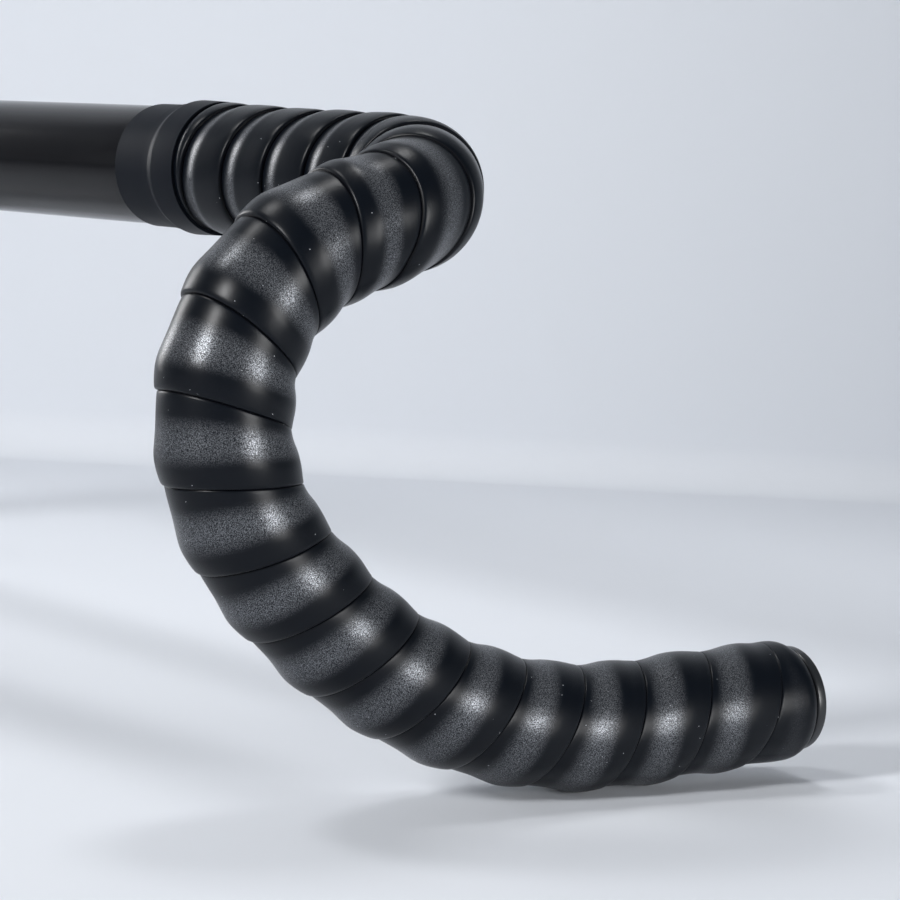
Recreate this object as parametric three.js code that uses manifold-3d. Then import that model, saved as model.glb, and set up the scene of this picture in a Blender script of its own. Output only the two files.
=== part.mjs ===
// A drop handlebar wound with padded bar tape, one half mirrored from the other.
// Millimetres. Origin at the centre of the stem clamp, +X to the rider's right,
// +Y forward along the bicycle and +Z up.

import * as THREE from 'three';
import { mergeVertices } from 'three/addons/utils/BufferGeometryUtils.js';
import Module from 'manifold-3d';

const wasm = await Module();
wasm.setup();

// Handlebar tube
const halfWidth = 210;
const clampRadius = 15.9;
const gripRadius = 11.9;
const tubeWall = 2;
const taperStart = 84;
const taperLength = 96;

// Bends, from the stem clamp outwards
const cornerRadius = 24;
const cornerTurn = THREE.MathUtils.degToRad(101.5);
const rampSlope = THREE.MathUtils.degToRad(21);
const rampLength = 8.5;
const hookUpperRadius = 42;
const hookUpperTurn = THREE.MathUtils.degToRad(73);
const hookMiddleRadius = 55;
const hookMiddleTurn = THREE.MathUtils.degToRad(37);
const hookLowerRadius = 128;
const hookLowerTurn = THREE.MathUtils.degToRad(54);
const dropLength = 47;

// Finishing tape
const finishingStart = 96;
const finishingWidth = 25.5;
const finishingThickness = 0.5;
const finishingOverlap = 9;

// Bar tape: its build-up is the mean thickness of the wound layers over the tube
const firstTurnOffset = 0.6;
const topsPitch = 15.5;
const cornerPitch = 11.8;
const hookPitch = 16;
const endPitch = 21.6;
const cornerEase = 26;
const hookEase = 13;
const startBuildUp = 1.7;
const gripBuildUp = 3.8;
const ridgeHeight = 0.55;
const ridgeCrestShare = 0.7;
const ridgeEdgeShare = 0.96;
const foldLength = 4.2;
const foldRound = 3;
const foldOverhang = 2.2;
const tuckThickness = 1.3;

// End plug
const capRadius = 13.7;
const capThickness = 3;
const capDome = 0.6;
const capEdgeRound = 0.7;
const spigotLength = 6.5;
const sleeveNeckLength = 4.3;
const sleeveGripLength = 11.4;
const sleeveWall = 2.3;
const sleeveMouthWall = 1.9;
const sleeveSlotWidth = 1.4;
const wedgeLength = 9;
const screwRadius = 2;
const screwHeadRadius = 3.5;
const screwHeadHeight = 3;
const socketAcrossFlats = 3;
const socketDepth = 1.8;

// Fits: the wider one is for round pieces whose facets don't line up
const clearance = 0.3;
const turnedClearance = 0.5;

// Facets
const tubeSides = 14;
const turnedSides = 16;
const bendStep = THREE.MathUtils.degToRad(14.6);
const taperSteps = 4;
const foldSteps = 3;
const domeSteps = 2;
const shortestStep = 0.6;

const colours = {
  tube: { color: 0x141517, roughness: 0.22, metalness: 0.3 },
  tape: { color: 0x26282b, roughness: 0.55, metalness: 0 },
  finishing: { color: 0x1b1d21, roughness: 0.42, metalness: 0 },
  plastic: { color: 0x17181a, roughness: 0.38, metalness: 0 },
  nylon: { color: 0x2a2b2e, roughness: 0.6, metalness: 0 },
  steel: { color: 0x4a4d52, roughness: 0.35, metalness: 0.9 },
};

const up = new THREE.Vector3(0, 0, 1);
const down = new THREE.Vector3(0, 0, -1);

// The centreline of the left half is a chain of straights and bends.
function centrelineSpans() {
  const rampDirection = new THREE.Vector3(0, Math.cos(rampSlope), -Math.sin(rampSlope));
  const spans = [];
  let frame = {
    point: new THREE.Vector3(0, 0, 0),
    tangent: new THREE.Vector3(-1, 0, 0),
    normal: up.clone(),
  };
  let start = 0;

  function addSpan(length, axis, radius) {
    const span = { start, end: start + length, axis, radius, frame };
    spans.push(span);
    frame = frameOnSpan(span, length);
    start += length;
  }

  function addBend(radius, turn, towards) {
    const axis = new THREE.Vector3().crossVectors(frame.tangent, towards).normalize();
    addSpan(radius * turn, axis, radius);
  }

  addSpan(halfWidth - cornerRadius, null, 0);
  addBend(cornerRadius, cornerTurn, rampDirection);
  addSpan(rampLength, null, 0);
  const hookAxis = new THREE.Vector3().crossVectors(frame.tangent, down).normalize();
  addSpan(hookUpperRadius * hookUpperTurn, hookAxis, hookUpperRadius);
  addSpan(hookMiddleRadius * hookMiddleTurn, hookAxis, hookMiddleRadius);
  addSpan(hookLowerRadius * hookLowerTurn, hookAxis, hookLowerRadius);
  addSpan(dropLength, null, 0);
  return spans;
}

function frameOnSpan(span, distance) {
  const { point, tangent, normal } = span.frame;
  if (!span.axis) {
    return { point: point.clone().addScaledVector(tangent, distance), tangent, normal };
  }
  const inward = new THREE.Vector3().crossVectors(span.axis, tangent);
  const centre = point.clone().addScaledVector(inward, span.radius);
  const angle = distance / span.radius;
  return {
    point: point.clone().sub(centre).applyAxisAngle(span.axis, angle).add(centre),
    tangent: tangent.clone().applyAxisAngle(span.axis, angle),
    normal: normal.clone().applyAxisAngle(span.axis, angle),
  };
}

const spans = centrelineSpans();
const barEnd = spans.at(-1).end;
const cornerStart = spans[1].start;
const cornerEnd = spans[1].end;
const hookStart = spans[3].start;

// A distance past either end of the centreline runs straight on.
function frameAt(distance) {
  const span = spans.find((candidate) => distance <= candidate.end) ?? spans.at(-1);
  return frameOnSpan(span, distance - span.start);
}

function pointAround(distance, radius, column) {
  const { point, tangent, normal } = frameAt(distance);
  const side = new THREE.Vector3().crossVectors(tangent, normal);
  const angle = (column / tubeSides) * 2 * Math.PI;
  return point
    .clone()
    .addScaledVector(normal, radius * Math.cos(angle))
    .addScaledVector(side, radius * Math.sin(angle));
}

function ringAround(distance, radius) {
  return Array.from({ length: tubeSides }, (_, column) => pointAround(distance, radius, column));
}

function mirrored(point) {
  return new THREE.Vector3(-point.x, point.y, point.z);
}

// Distances at which the tube's section or direction changes, from the clamp to the end.
function tubeStations() {
  const stations = [];
  for (let step = 0; step <= taperSteps; step += 1) {
    stations.push(taperStart + (taperLength * step) / taperSteps);
  }
  for (const span of spans) {
    const bendSteps = span.axis ? Math.ceil((span.end - span.start) / span.radius / bendStep) : 1;
    for (let step = 1; step <= bendSteps; step += 1) {
      stations.push(THREE.MathUtils.lerp(span.start, span.end, step / bendSteps));
    }
  }
  stations.sort((first, second) => second - first);
  const kept = [];
  for (const distance of stations) {
    if (kept.length === 0 || kept.at(-1) - distance > shortestStep) {
      kept.push(distance);
    }
  }
  return kept.reverse();
}

function taperShare(distance) {
  return THREE.MathUtils.smoothstep(distance, taperStart, taperStart + taperLength);
}

function tubeRadius(distance) {
  return THREE.MathUtils.lerp(clampRadius, gripRadius, taperShare(distance));
}

// Rings joined into a closed skin: the last ring meets the first.
function skinOfRings(rings) {
  const positions = rings.flat();
  const triangles = [];
  for (let ring = 0; ring < rings.length; ring += 1) {
    const next = (ring + 1) % rings.length;
    for (let column = 0; column < tubeSides; column += 1) {
      const right = (column + 1) % tubeSides;
      const corners = [
        ring * tubeSides + column,
        ring * tubeSides + right,
        next * tubeSides + right,
        next * tubeSides + column,
      ];
      triangles.push([corners[0], corners[1], corners[2]]);
      triangles.push([corners[0], corners[2], corners[3]]);
    }
  }
  return closedGeometry(positions, triangles);
}

// Builds the geometry with its faces pointing out, whichever way the triangles were listed.
function closedGeometry(positions, triangles) {
  let volume = 0;
  for (const [a, b, c] of triangles) {
    const cross = new THREE.Vector3().crossVectors(positions[b], positions[c]);
    volume += positions[a].dot(cross);
  }
  const outward = volume > 0 ? triangles : triangles.map(([a, b, c]) => [a, c, b]);
  const geometry = new THREE.BufferGeometry().setFromPoints(positions);
  geometry.setIndex(outward.flat());
  geometry.computeVertexNormals();
  return geometry;
}

function handlebarGeometry() {
  const half = tubeStations();
  const outerHalf = half.map((distance) => ringAround(distance, tubeRadius(distance)));
  const innerHalf = half.map((distance) => ringAround(distance, tubeRadius(distance) - tubeWall));
  const outer = acrossBothHalves(outerHalf);
  const inner = acrossBothHalves(innerHalf);
  return skinOfRings([...outer, ...inner.reverse()]);
}

function acrossBothHalves(rings) {
  const otherHalf = rings.map((ring) => ring.map(mirrored));
  return [...rings.slice().reverse(), ...otherHalf];
}

const finishingEnd = finishingStart + finishingWidth;
const tapeStart = finishingEnd - finishingOverlap;
const firstTurnEdge = tapeStart + firstTurnOffset;

// The pitch is even on the tops, tightest round the corner and widest at the bar's end, and
// it changes steadily from each of these stations to the next.
const pitchStations = [
  { distance: firstTurnEdge, pitch: topsPitch },
  { distance: cornerStart - cornerEase, pitch: topsPitch },
  { distance: (cornerStart + cornerEnd) / 2, pitch: cornerPitch },
  { distance: hookStart + hookEase, pitch: hookPitch },
  { distance: barEnd, pitch: endPitch },
];
pitchStations[0].turn = 0;
for (let index = 1; index < pitchStations.length; index += 1) {
  const before = pitchStations[index - 1];
  const station = pitchStations[index];
  station.turn = before.turn + turnsBeyond(before, station.distance - before.distance);
}

// How fast the pitch changes from a station to the next; past the ends it stays even.
function pitchGrowth(station) {
  const next = pitchStations[pitchStations.indexOf(station) + 1];
  return next ? (next.pitch - station.pitch) / (next.distance - station.distance) : 0;
}

function turnsBeyond(station, travel) {
  const growth = pitchGrowth(station);
  if (growth === 0 || travel < 0) {
    return travel / station.pitch;
  }
  return Math.log1p((travel * growth) / station.pitch) / growth;
}

function distanceAtTurn(turn) {
  const station = pitchStations.findLast((candidate) => candidate.turn <= turn) ?? pitchStations[0];
  const turns = turn - station.turn;
  const growth = pitchGrowth(station);
  if (growth === 0 || turns < 0) {
    return station.distance + turns * station.pitch;
  }
  return station.distance + (station.pitch / growth) * Math.expm1(turns * growth);
}

function turnAtDistance(distance) {
  const station = pitchStations.findLast((candidate) => candidate.distance <= distance) ?? pitchStations[0];
  return station.turn + turnsBeyond(station, distance - station.distance);
}

function tapedRadius(distance) {
  return tubeRadius(distance) + THREE.MathUtils.lerp(startBuildUp, gripBuildUp, taperShare(distance));
}

// The end plug's heights, measured outwards from the tube's end face, and its radii.
const capBack = foldOverhang + clearance;
const capFront = capBack + capThickness;
const spigotEnd = capBack - spigotLength;
const sleeveTop = spigotEnd - clearance;
const sleeveShoulder = sleeveTop - sleeveNeckLength;
const sleeveEnd = sleeveShoulder - sleeveGripLength;
const headSeat = capFront + capDome - screwHeadHeight - clearance;
const boreRadius = gripRadius - tubeWall;
const tuckEnd = sleeveShoulder + clearance;
const tuckOuterRadius = boreRadius - clearance;
const tuckInnerRadius = tuckOuterRadius - tuckThickness;
const spigotRadius = tuckInnerRadius - turnedClearance;
const sleeveGripRadius = boreRadius - turnedClearance;
const sleeveBoreRadius = spigotRadius - sleeveWall;
const sleeveMouthRadius = sleeveGripRadius - sleeveMouthWall;
const screwHole = screwRadius + clearance;

// Each turn lies on the one before it: a foot, a crest and the tape's edge, turn after turn.
const turnProfile = [
  { share: 0, height: -ridgeHeight },
  { share: ridgeCrestShare, height: ridgeHeight },
  { share: ridgeEdgeShare, height: 0 },
];

const woundStart = finishingEnd + clearance;
const woundEnd = barEnd + foldOverhang - foldLength;
const flatStartRadius = tapedRadius(woundStart) - ridgeHeight;

// The wound surface is a grid that leans with the helix, trimmed by a ring at each end.
function woundTape() {
  const positions = [];
  const indexOfKey = new Map();
  const rowsPerTurn = turnProfile.length;

  function vertex(row, column) {
    const turn = Math.floor(row / rowsPerTurn);
    const { share, height } = turnProfile[row - turn * rowsPerTurn];
    const distance = distanceAtTurn(turn + share - column / tubeSides);
    let key = `${row} ${column}`;
    let position = () => pointAround(distance, tapedRadius(distance) + height, column);
    if (distance < woundStart + shortestStep) {
      key = `start ${column}`;
      position = () => pointAround(woundStart, flatStartRadius, column);
    } else if (distance > woundEnd - shortestStep) {
      key = `end ${column}`;
      position = () => pointAround(woundEnd, tapedRadius(woundEnd), column);
    }
    if (!indexOfKey.has(key)) {
      indexOfKey.set(key, positions.length);
      positions.push(position());
    }
    return indexOfKey.get(key);
  }

  function wrappedVertex(row, column) {
    return column < tubeSides ? vertex(row, column) : vertex(row - rowsPerTurn, 0);
  }

  const triangles = [];
  const firstRow = Math.floor(turnAtDistance(woundStart) - 1) * rowsPerTurn;
  const lastRow = Math.ceil(turnAtDistance(woundEnd) + 2) * rowsPerTurn;
  for (let row = firstRow; row < lastRow; row += 1) {
    for (let column = 0; column < tubeSides; column += 1) {
      const a = wrappedVertex(row, column);
      const b = wrappedVertex(row, column + 1);
      const c = wrappedVertex(row + 1, column + 1);
      const d = wrappedVertex(row + 1, column);
      triangles.push([a, b, c], [a, c, d]);
    }
  }
  const startRing = Array.from({ length: tubeSides }, (_, column) => indexOfKey.get(`start ${column}`));
  const endRing = Array.from({ length: tubeSides }, (_, column) => indexOfKey.get(`end ${column}`));
  return { positions, triangles, startRing, endRing };
}

// The folded end, the tuck inside the tube and the bore round the tube, as rings from the
// end of the wound surface back to its start.
function tapeLiningRings() {
  const rings = [];
  const flatRadius = tapedRadius(woundEnd) - foldRound;
  for (let step = 1; step <= foldSteps; step += 1) {
    const angle = (step / foldSteps) * (Math.PI / 2);
    const distance = woundEnd + foldLength * Math.sin(angle);
    rings.push(ringAround(distance, flatRadius + foldRound * Math.cos(angle)));
  }
  rings.push(
    ringAround(barEnd + foldOverhang, tuckInnerRadius),
    ringAround(barEnd + tuckEnd, tuckInnerRadius),
    ringAround(barEnd + tuckEnd, tuckOuterRadius),
    ringAround(barEnd + clearance, tuckOuterRadius),
    ringAround(barEnd + clearance, gripRadius + clearance),
  );
  const alongTube = tubeStations().filter((distance) => distance > tapeStart + shortestStep);
  for (const distance of [...alongTube.reverse(), tapeStart]) {
    rings.push(ringAround(distance, tubeRadius(distance) + clearance));
  }
  rings.push(ringAround(tapeStart, flatStartRadius));
  return rings;
}

function tapeGeometry() {
  const { positions, triangles, startRing, endRing } = woundTape();
  let previous = endRing;
  const loops = [...tapeLiningRings(), null];
  for (const ring of loops) {
    let next = startRing;
    if (ring) {
      next = ring.map((_, column) => positions.length + column);
      positions.push(...ring);
    }
    for (let column = 0; column < tubeSides; column += 1) {
      const right = (column + 1) % tubeSides;
      triangles.push([previous[column], previous[right], next[right]]);
      triangles.push([previous[column], next[right], next[column]]);
    }
    previous = next;
  }
  const solid = triangles.filter(([a, b, c]) => a !== b && b !== c && c !== a);
  return closedGeometry(positions, solid);
}

function finishingTapeGeometry() {
  const overTube = tubeRadius(finishingStart) + clearance;
  const overTape = flatStartRadius + clearance;
  const climbEnd = tapeStart - clearance;
  const climbStart = climbEnd - 2 * (overTape - overTube);
  return skinOfRings([
    ringAround(finishingStart, overTube),
    ringAround(finishingStart, overTube + finishingThickness),
    ringAround(climbStart - finishingThickness, overTube + finishingThickness),
    ringAround(climbEnd - finishingThickness, overTape + finishingThickness),
    ringAround(finishingEnd, overTape + finishingThickness),
    ringAround(finishingEnd, overTape),
    ringAround(climbEnd, overTape),
    ringAround(climbStart, overTube),
  ]);
}

// A turned piece from its closed outline: radius and height above the tube's end face.
function turned(outline) {
  const points = outline.map(([radius, height]) => new THREE.Vector2(radius, height));
  if (outline[0][0] > 0) {
    points.push(points[0].clone());
  }
  const lathe = new THREE.LatheGeometry(points, turnedSides);
  lathe.deleteAttribute('normal');
  lathe.deleteAttribute('uv');
  const merged = mergeVertices(lathe, 1e-4);
  const vertices = [];
  const position = merged.getAttribute('position');
  for (let index = 0; index < position.count; index += 1) {
    vertices.push(new THREE.Vector3().fromBufferAttribute(position, index));
  }
  const triangles = [];
  const order = merged.getIndex().array;
  for (let corner = 0; corner < order.length; corner += 3) {
    const [a, b, c] = order.slice(corner, corner + 3);
    if (a !== b && b !== c && c !== a) {
      triangles.push([a, b, c]);
    }
  }
  return closedGeometry(vertices, triangles);
}

function manifoldOf(geometry) {
  const bare = geometry.clone();
  bare.deleteAttribute('normal');
  bare.deleteAttribute('uv');
  const merged = mergeVertices(bare, 1e-4);
  return new wasm.Manifold(new wasm.Mesh({
    numProp: 3,
    vertProperties: new Float32Array(merged.getAttribute('position').array),
    triVerts: new Uint32Array(merged.getIndex().array),
  }));
}

function subtracted(geometry, cutters) {
  let solid = manifoldOf(geometry);
  for (const cutter of cutters) {
    solid = solid.subtract(manifoldOf(cutter));
  }
  const mesh = solid.getMesh();
  const result = new THREE.BufferGeometry();
  result.setAttribute('position', new THREE.BufferAttribute(mesh.vertProperties, 3));
  result.setIndex(new THREE.BufferAttribute(mesh.triVerts, 1));
  result.computeVertexNormals();
  return result;
}

function endCapGeometry() {
  const headHole = screwHeadRadius + clearance;
  const domeEdge = capRadius - capEdgeRound;
  const dome = [];
  for (let step = 0; step <= domeSteps; step += 1) {
    const radius = THREE.MathUtils.lerp(headHole, domeEdge, step / domeSteps);
    dome.push([radius, capFront + capDome * (1 - (radius / domeEdge) ** 2)]);
  }
  return turned([
    ...dome,
    [capRadius, capFront - capEdgeRound],
    [capRadius, capBack + capEdgeRound],
    [capRadius - capEdgeRound, capBack],
    [spigotRadius, capBack],
    [spigotRadius, spigotEnd],
    [screwHole, spigotEnd],
    [screwHole, headSeat],
    [headHole, headSeat],
  ]);
}

function plugSleeveGeometry() {
  const sleeve = turned([
    [sleeveBoreRadius, sleeveTop],
    [spigotRadius, sleeveTop],
    [spigotRadius, sleeveShoulder],
    [sleeveGripRadius, sleeveShoulder - (sleeveGripRadius - spigotRadius)],
    [sleeveGripRadius, sleeveEnd],
    [sleeveMouthRadius, sleeveEnd],
    [sleeveBoreRadius, sleeveShoulder],
  ]);
  const slotReach = capRadius * 2;
  const cutters = [[sleeveSlotWidth, slotReach], [slotReach, sleeveSlotWidth]].map(([sizeX, sizeZ]) => {
    const cutter = new THREE.BoxGeometry(sizeX, sleeveGripLength * 2, sizeZ);
    return cutter.translate(0, sleeveEnd, 0);
  });
  return subtracted(sleeve, cutters);
}

function wedgeNutGeometry() {
  const coneSlope = (sleeveMouthRadius - sleeveBoreRadius) / sleeveGripLength;
  const wideEnd = sleeveEnd - clearance;
  const wideRadius = sleeveMouthRadius - clearance;
  const narrowRadius = wideRadius - coneSlope * wedgeLength;
  return turned([
    [screwHole, wideEnd],
    [wideRadius, wideEnd],
    [narrowRadius, wideEnd + wedgeLength],
    [screwHole, wideEnd + wedgeLength],
  ]);
}

function plugScrewGeometry() {
  const headBottom = headSeat + clearance;
  const headTop = headBottom + screwHeadHeight;
  const shankEnd = sleeveEnd - clearance - screwRadius;
  const screw = turned([
    [0, shankEnd],
    [screwRadius, shankEnd],
    [screwRadius, headBottom],
    [screwHeadRadius, headBottom],
    [screwHeadRadius, headTop],
    [0, headTop],
  ]);
  const socketRadius = socketAcrossFlats / 2 / Math.cos(Math.PI / 6);
  const socket = new THREE.CylinderGeometry(socketRadius, socketRadius, socketDepth * 2, 6);
  return subtracted(screw, [socket.translate(0, headTop, 0)]);
}

function namedMesh(name, geometry, finish) {
  const mesh = new THREE.Mesh(geometry, new THREE.MeshStandardMaterial(finish));
  mesh.name = name;
  return mesh;
}

// The right half's copy of a left piece, with its faces turned to point out again.
function mirroredGeometry(geometry) {
  const position = geometry.getAttribute('position');
  const points = [];
  for (let index = 0; index < position.count; index += 1) {
    points.push(mirrored(new THREE.Vector3().fromBufferAttribute(position, index)));
  }
  const order = geometry.getIndex().array;
  const triangles = [];
  for (let corner = 0; corner < order.length; corner += 3) {
    triangles.push([order[corner], order[corner + 2], order[corner + 1]]);
  }
  return closedGeometry(points, triangles);
}

function endPlug(side, outward, place) {
  const plug = new THREE.Group();
  plug.add(namedMesh(`${side}_end_cap`, endCapGeometry(), colours.plastic));
  plug.add(namedMesh(`${side}_plug_sleeve`, plugSleeveGeometry(), colours.nylon));
  plug.add(namedMesh(`${side}_wedge_nut`, wedgeNutGeometry(), colours.steel));
  plug.add(namedMesh(`${side}_plug_screw`, plugScrewGeometry(), colours.steel));
  plug.position.copy(place);
  plug.quaternion.setFromUnitVectors(new THREE.Vector3(0, 1, 0), outward);
  return plug;
}

const group = new THREE.Group();
group.add(namedMesh('handlebar', handlebarGeometry(), colours.tube));

const leftTape = tapeGeometry();
const leftFinishing = finishingTapeGeometry();
group.add(namedMesh('left_bar_tape', leftTape, colours.tape));
group.add(namedMesh('right_bar_tape', mirroredGeometry(leftTape), colours.tape));
group.add(namedMesh('left_finishing_tape', leftFinishing, colours.finishing));
group.add(namedMesh('right_finishing_tape', mirroredGeometry(leftFinishing), colours.finishing));

const leftEnd = frameAt(barEnd);
group.add(endPlug('left', leftEnd.tangent, leftEnd.point));
group.add(endPlug('right', mirrored(leftEnd.tangent), mirrored(leftEnd.point)));

export default group;
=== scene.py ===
import math

import bpy
import numpy as np
from bpy.props import FloatProperty, FloatVectorProperty, IntProperty, PointerProperty
from mathutils import Matrix, Vector


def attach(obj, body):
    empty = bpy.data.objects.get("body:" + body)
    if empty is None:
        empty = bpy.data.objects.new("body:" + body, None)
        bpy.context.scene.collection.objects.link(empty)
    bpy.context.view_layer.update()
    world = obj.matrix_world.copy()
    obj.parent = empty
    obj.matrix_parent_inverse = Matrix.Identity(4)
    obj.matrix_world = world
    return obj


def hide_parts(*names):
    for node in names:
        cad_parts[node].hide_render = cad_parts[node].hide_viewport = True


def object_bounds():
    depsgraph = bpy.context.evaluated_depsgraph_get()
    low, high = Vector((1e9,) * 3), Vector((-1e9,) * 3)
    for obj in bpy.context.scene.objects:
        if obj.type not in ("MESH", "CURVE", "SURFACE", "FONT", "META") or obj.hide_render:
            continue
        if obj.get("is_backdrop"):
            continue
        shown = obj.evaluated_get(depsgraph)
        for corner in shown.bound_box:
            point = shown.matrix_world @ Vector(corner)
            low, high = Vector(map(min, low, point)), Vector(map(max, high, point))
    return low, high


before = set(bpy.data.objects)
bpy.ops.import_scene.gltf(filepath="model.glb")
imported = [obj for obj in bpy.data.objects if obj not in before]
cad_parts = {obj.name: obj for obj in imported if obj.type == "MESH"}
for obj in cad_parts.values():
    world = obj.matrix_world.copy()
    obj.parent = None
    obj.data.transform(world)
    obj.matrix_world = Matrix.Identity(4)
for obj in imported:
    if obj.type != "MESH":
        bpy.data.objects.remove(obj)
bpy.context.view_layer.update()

bl_info = {
    "name": "Taped Drop Handlebar",
    "version": (1, 0, 0),
    "blender": (4, 5, 0),
    "location": "3D View > Sidebar > Handlebar",
    "description": "A drop handlebar wound with padded tape, with finishing bands and end plugs",
    "category": "Object",
}

MILLIMETRE = 0.001


def length(name, description, millimetres):
    return FloatProperty(
        name=name,
        description=description,
        default=millimetres * MILLIMETRE,
        subtype="DISTANCE",
        unit="LENGTH",
        precision=5,
    )


def angle(name, description, degrees):
    return FloatProperty(
        name=name,
        description=description,
        default=math.radians(degrees),
        subtype="ANGLE",
        unit="ROTATION",
    )


def colour(name, description, red, green, blue):
    return FloatVectorProperty(
        name=name,
        description=description,
        default=(red, green, blue, 1.0),
        size=4,
        min=0.0,
        max=1.0,
        subtype="COLOR",
    )


class BarSizes(bpy.types.PropertyGroup):
    half_width: length("Half width", "From the stem clamp's centre to the middle of a corner", 210)
    clamp_radius: length("Clamp radius", "Outer radius of the tube at the stem clamp", 15.9)
    grip_radius: length("Grip radius", "Outer radius of the tube in the hooks and drops", 11.9)
    wall: length("Wall", "Thickness of the tube's wall", 2)
    taper_start: length("Taper start", "Distance along the bar where the tube starts to narrow", 84)
    taper_length: length("Taper length", "Length over which the tube narrows to grip size", 96)
    corner_radius: length("Corner radius", "Bend between the tops and the ramp", 24)
    corner_turn: angle("Corner turn", "Right angle and the drops' outward sweep", 101.5)
    ramp_slope: angle("Ramp slope", "Fall of the ramp, forwards from the tops", 21)
    ramp_length: length("Ramp length", "Straight between the corner and the hook", 8.5)
    hook_top_radius: length("Hook top radius", "Tightest bend of the hook, under the lever", 42)
    hook_top_turn: angle("Hook top turn", "Turn of the hook's tightest bend", 73)
    hook_middle_radius: length("Hook middle radius", "Bend at the middle of the hook", 55)
    hook_middle_turn: angle("Hook middle turn", "Turn at the middle of the hook", 37)
    hook_low_radius: length("Hook low radius", "Slack bend into the drop", 128)
    hook_low_turn: angle("Hook low turn", "Turn of the slack bend into the drop", 54)
    drop_length: length("Drop length", "Straight at the bar's end", 47)


class TapeSizes(bpy.types.PropertyGroup):
    tops_pitch: length("Tops pitch", "Width that each turn shows on the tops", 15.5)
    corner_pitch: length("Corner pitch", "Width that a turn shows half way round the corner", 11.8)
    hook_pitch: length("Hook pitch", "Width that a turn shows at the top of the hook", 16)
    end_pitch: length("End pitch", "Width that a turn shows at the bar's end", 21.6)
    corner_ease: length("Corner ease", "Length before the corner where the pitch starts to fall", 26)
    hook_ease: length("Hook ease", "Length into the hook where the pitch is back up", 13)
    first_edge: length("First edge", "Distance along the bar of the first turn's edge", 113.1)
    lean: length("Lean", "How far each turn's edge lags behind on the outer side of the hook", 3.7)
    lean_bearing: angle("Lean bearing", "Side of the bar where the lean starts", 125.5)
    unevenness: length("Unevenness", "Rise and fall from turn to turn, as wound by hand", 0.1)
    pressed: length("Pressed", "How far the finishing tape presses the bar tape in", 0.45)
    start_build_up: length("Start build-up", "Mean thickness of the layers at the tape's cut end", 1.7)
    grip_build_up: length("Grip build-up", "Mean thickness of the layers in the hooks and drops", 3.8)
    fold_length: length("Fold length", "Length of the rounding over the bar's end", 4.2)
    fold_round: length("Fold round", "Height of the rounding over the bar's end", 3)
    fold_overhang: length("Fold overhang", "Reach of the folded tape past the tube's end", 2.2)
    tuck_depth: length("Tuck depth", "Length of tape pushed into the tube's end", 8.3)
    tuck_thickness: length("Tuck thickness", "Thickness of the tape pushed into the tube", 1.3)
    columns: IntProperty(name="Columns", description="Faces around one turn of tape", default=96)


class FinishingSizes(bpy.types.PropertyGroup):
    start: length("Start", "Distance along the bar of the finishing tape's inner edge", 96)
    width: length("Width", "Width of the finishing tape", 25.5)
    second_wrap: length("Second wrap", "Distance along the bar where its second layer starts", 107.5)
    overlap: length("Overlap", "Width of the finishing tape that lies on the bar tape", 9)
    layer: length("Layer", "Thickness of one layer", 0.3)
    climb_lead: length("Climb lead", "Where it starts to climb, before the bar tape's cut end", 2.5)
    climb_trail: length("Climb trail", "Where the climb ends, past the bar tape's cut end", 0.8)


class PlugSizes(bpy.types.PropertyGroup):
    cap_radius: length("Cap radius", "Outer radius of the end cap", 13.7)
    cap_thickness: length("Cap thickness", "Thickness of the cap's rim", 3)
    cap_dome: length("Cap dome", "Rise of the cap's face over its rim", 0.6)
    cap_round: length("Cap round", "Rounding of the rim's edges", 0.7)
    spigot_length: length("Spigot length", "Length of the cap's neck inside the tape", 6.5)
    screw_radius: length("Screw radius", "Radius of the plug's screw", 2)
    head_radius: length("Head radius", "Radius of the screw's head", 3.5)
    head_height: length("Head height", "Height of the screw's head", 3)
    socket: length("Socket", "Width across the flats of the screw's socket", 3)
    socket_depth: length("Socket depth", "Depth of the screw's socket", 1.8)
    sleeve_neck: length("Sleeve neck", "Length of the expander sleeve's neck", 4.3)
    sleeve_grip: length("Sleeve grip", "Length of the expander sleeve's slotted part", 11.4)


class Finishes(bpy.types.PropertyGroup):
    tube: colour("Tube", "Gloss coat of the bare tube", 0.005, 0.005, 0.006)
    tape: colour("Tape", "Satin face of the bar tape", 0.0022, 0.0034, 0.0058)
    # Painted highlight: a pale silvery colour for the bands laid along each turn where the lamps' sheen
    # falls, standing in for that sheen.
    painted_highlight: colour("Painted highlight", "Silvery grain where the tape is pulled over an edge", 0.22, 0.23, 0.25)
    crease: colour("Crease", "Shaded groove along the tape's edge", 0.002, 0.002, 0.003)
    dust: colour("Dust", "Specks of dust on the tape", 0.5, 0.52, 0.56)
    finishing: colour("Finishing tape", "Satin vinyl of the finishing tape", 0.006, 0.0075, 0.011)
    cap: colour("Cap", "Moulded plastic of the end cap", 0.012, 0.013, 0.015)
    nylon: colour("Nylon", "Moulded nylon of the plug's sleeve", 0.02, 0.02, 0.022)
    steel: colour("Steel", "Zinc plated steel of the screw and nut", 0.45, 0.46, 0.48)
    floor: colour("Floor", "Pale floor and backdrop", 0.68, 0.705, 0.75)


CLEARANCE = 0.3 * MILLIMETRE
LEFT = -1
RIGHT = 1
SIDE_NAMES = {LEFT: "left", RIGHT: "right"}


# The bar's centreline

def rotated(vector, axis, turn):
    """The vector turned about an axis by each angle of an array."""
    turn = np.asarray(turn)[:, None]
    along = axis * np.dot(axis, vector)
    return along + (vector - along) * np.cos(turn) + np.cross(axis, vector) * np.sin(turn)


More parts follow.
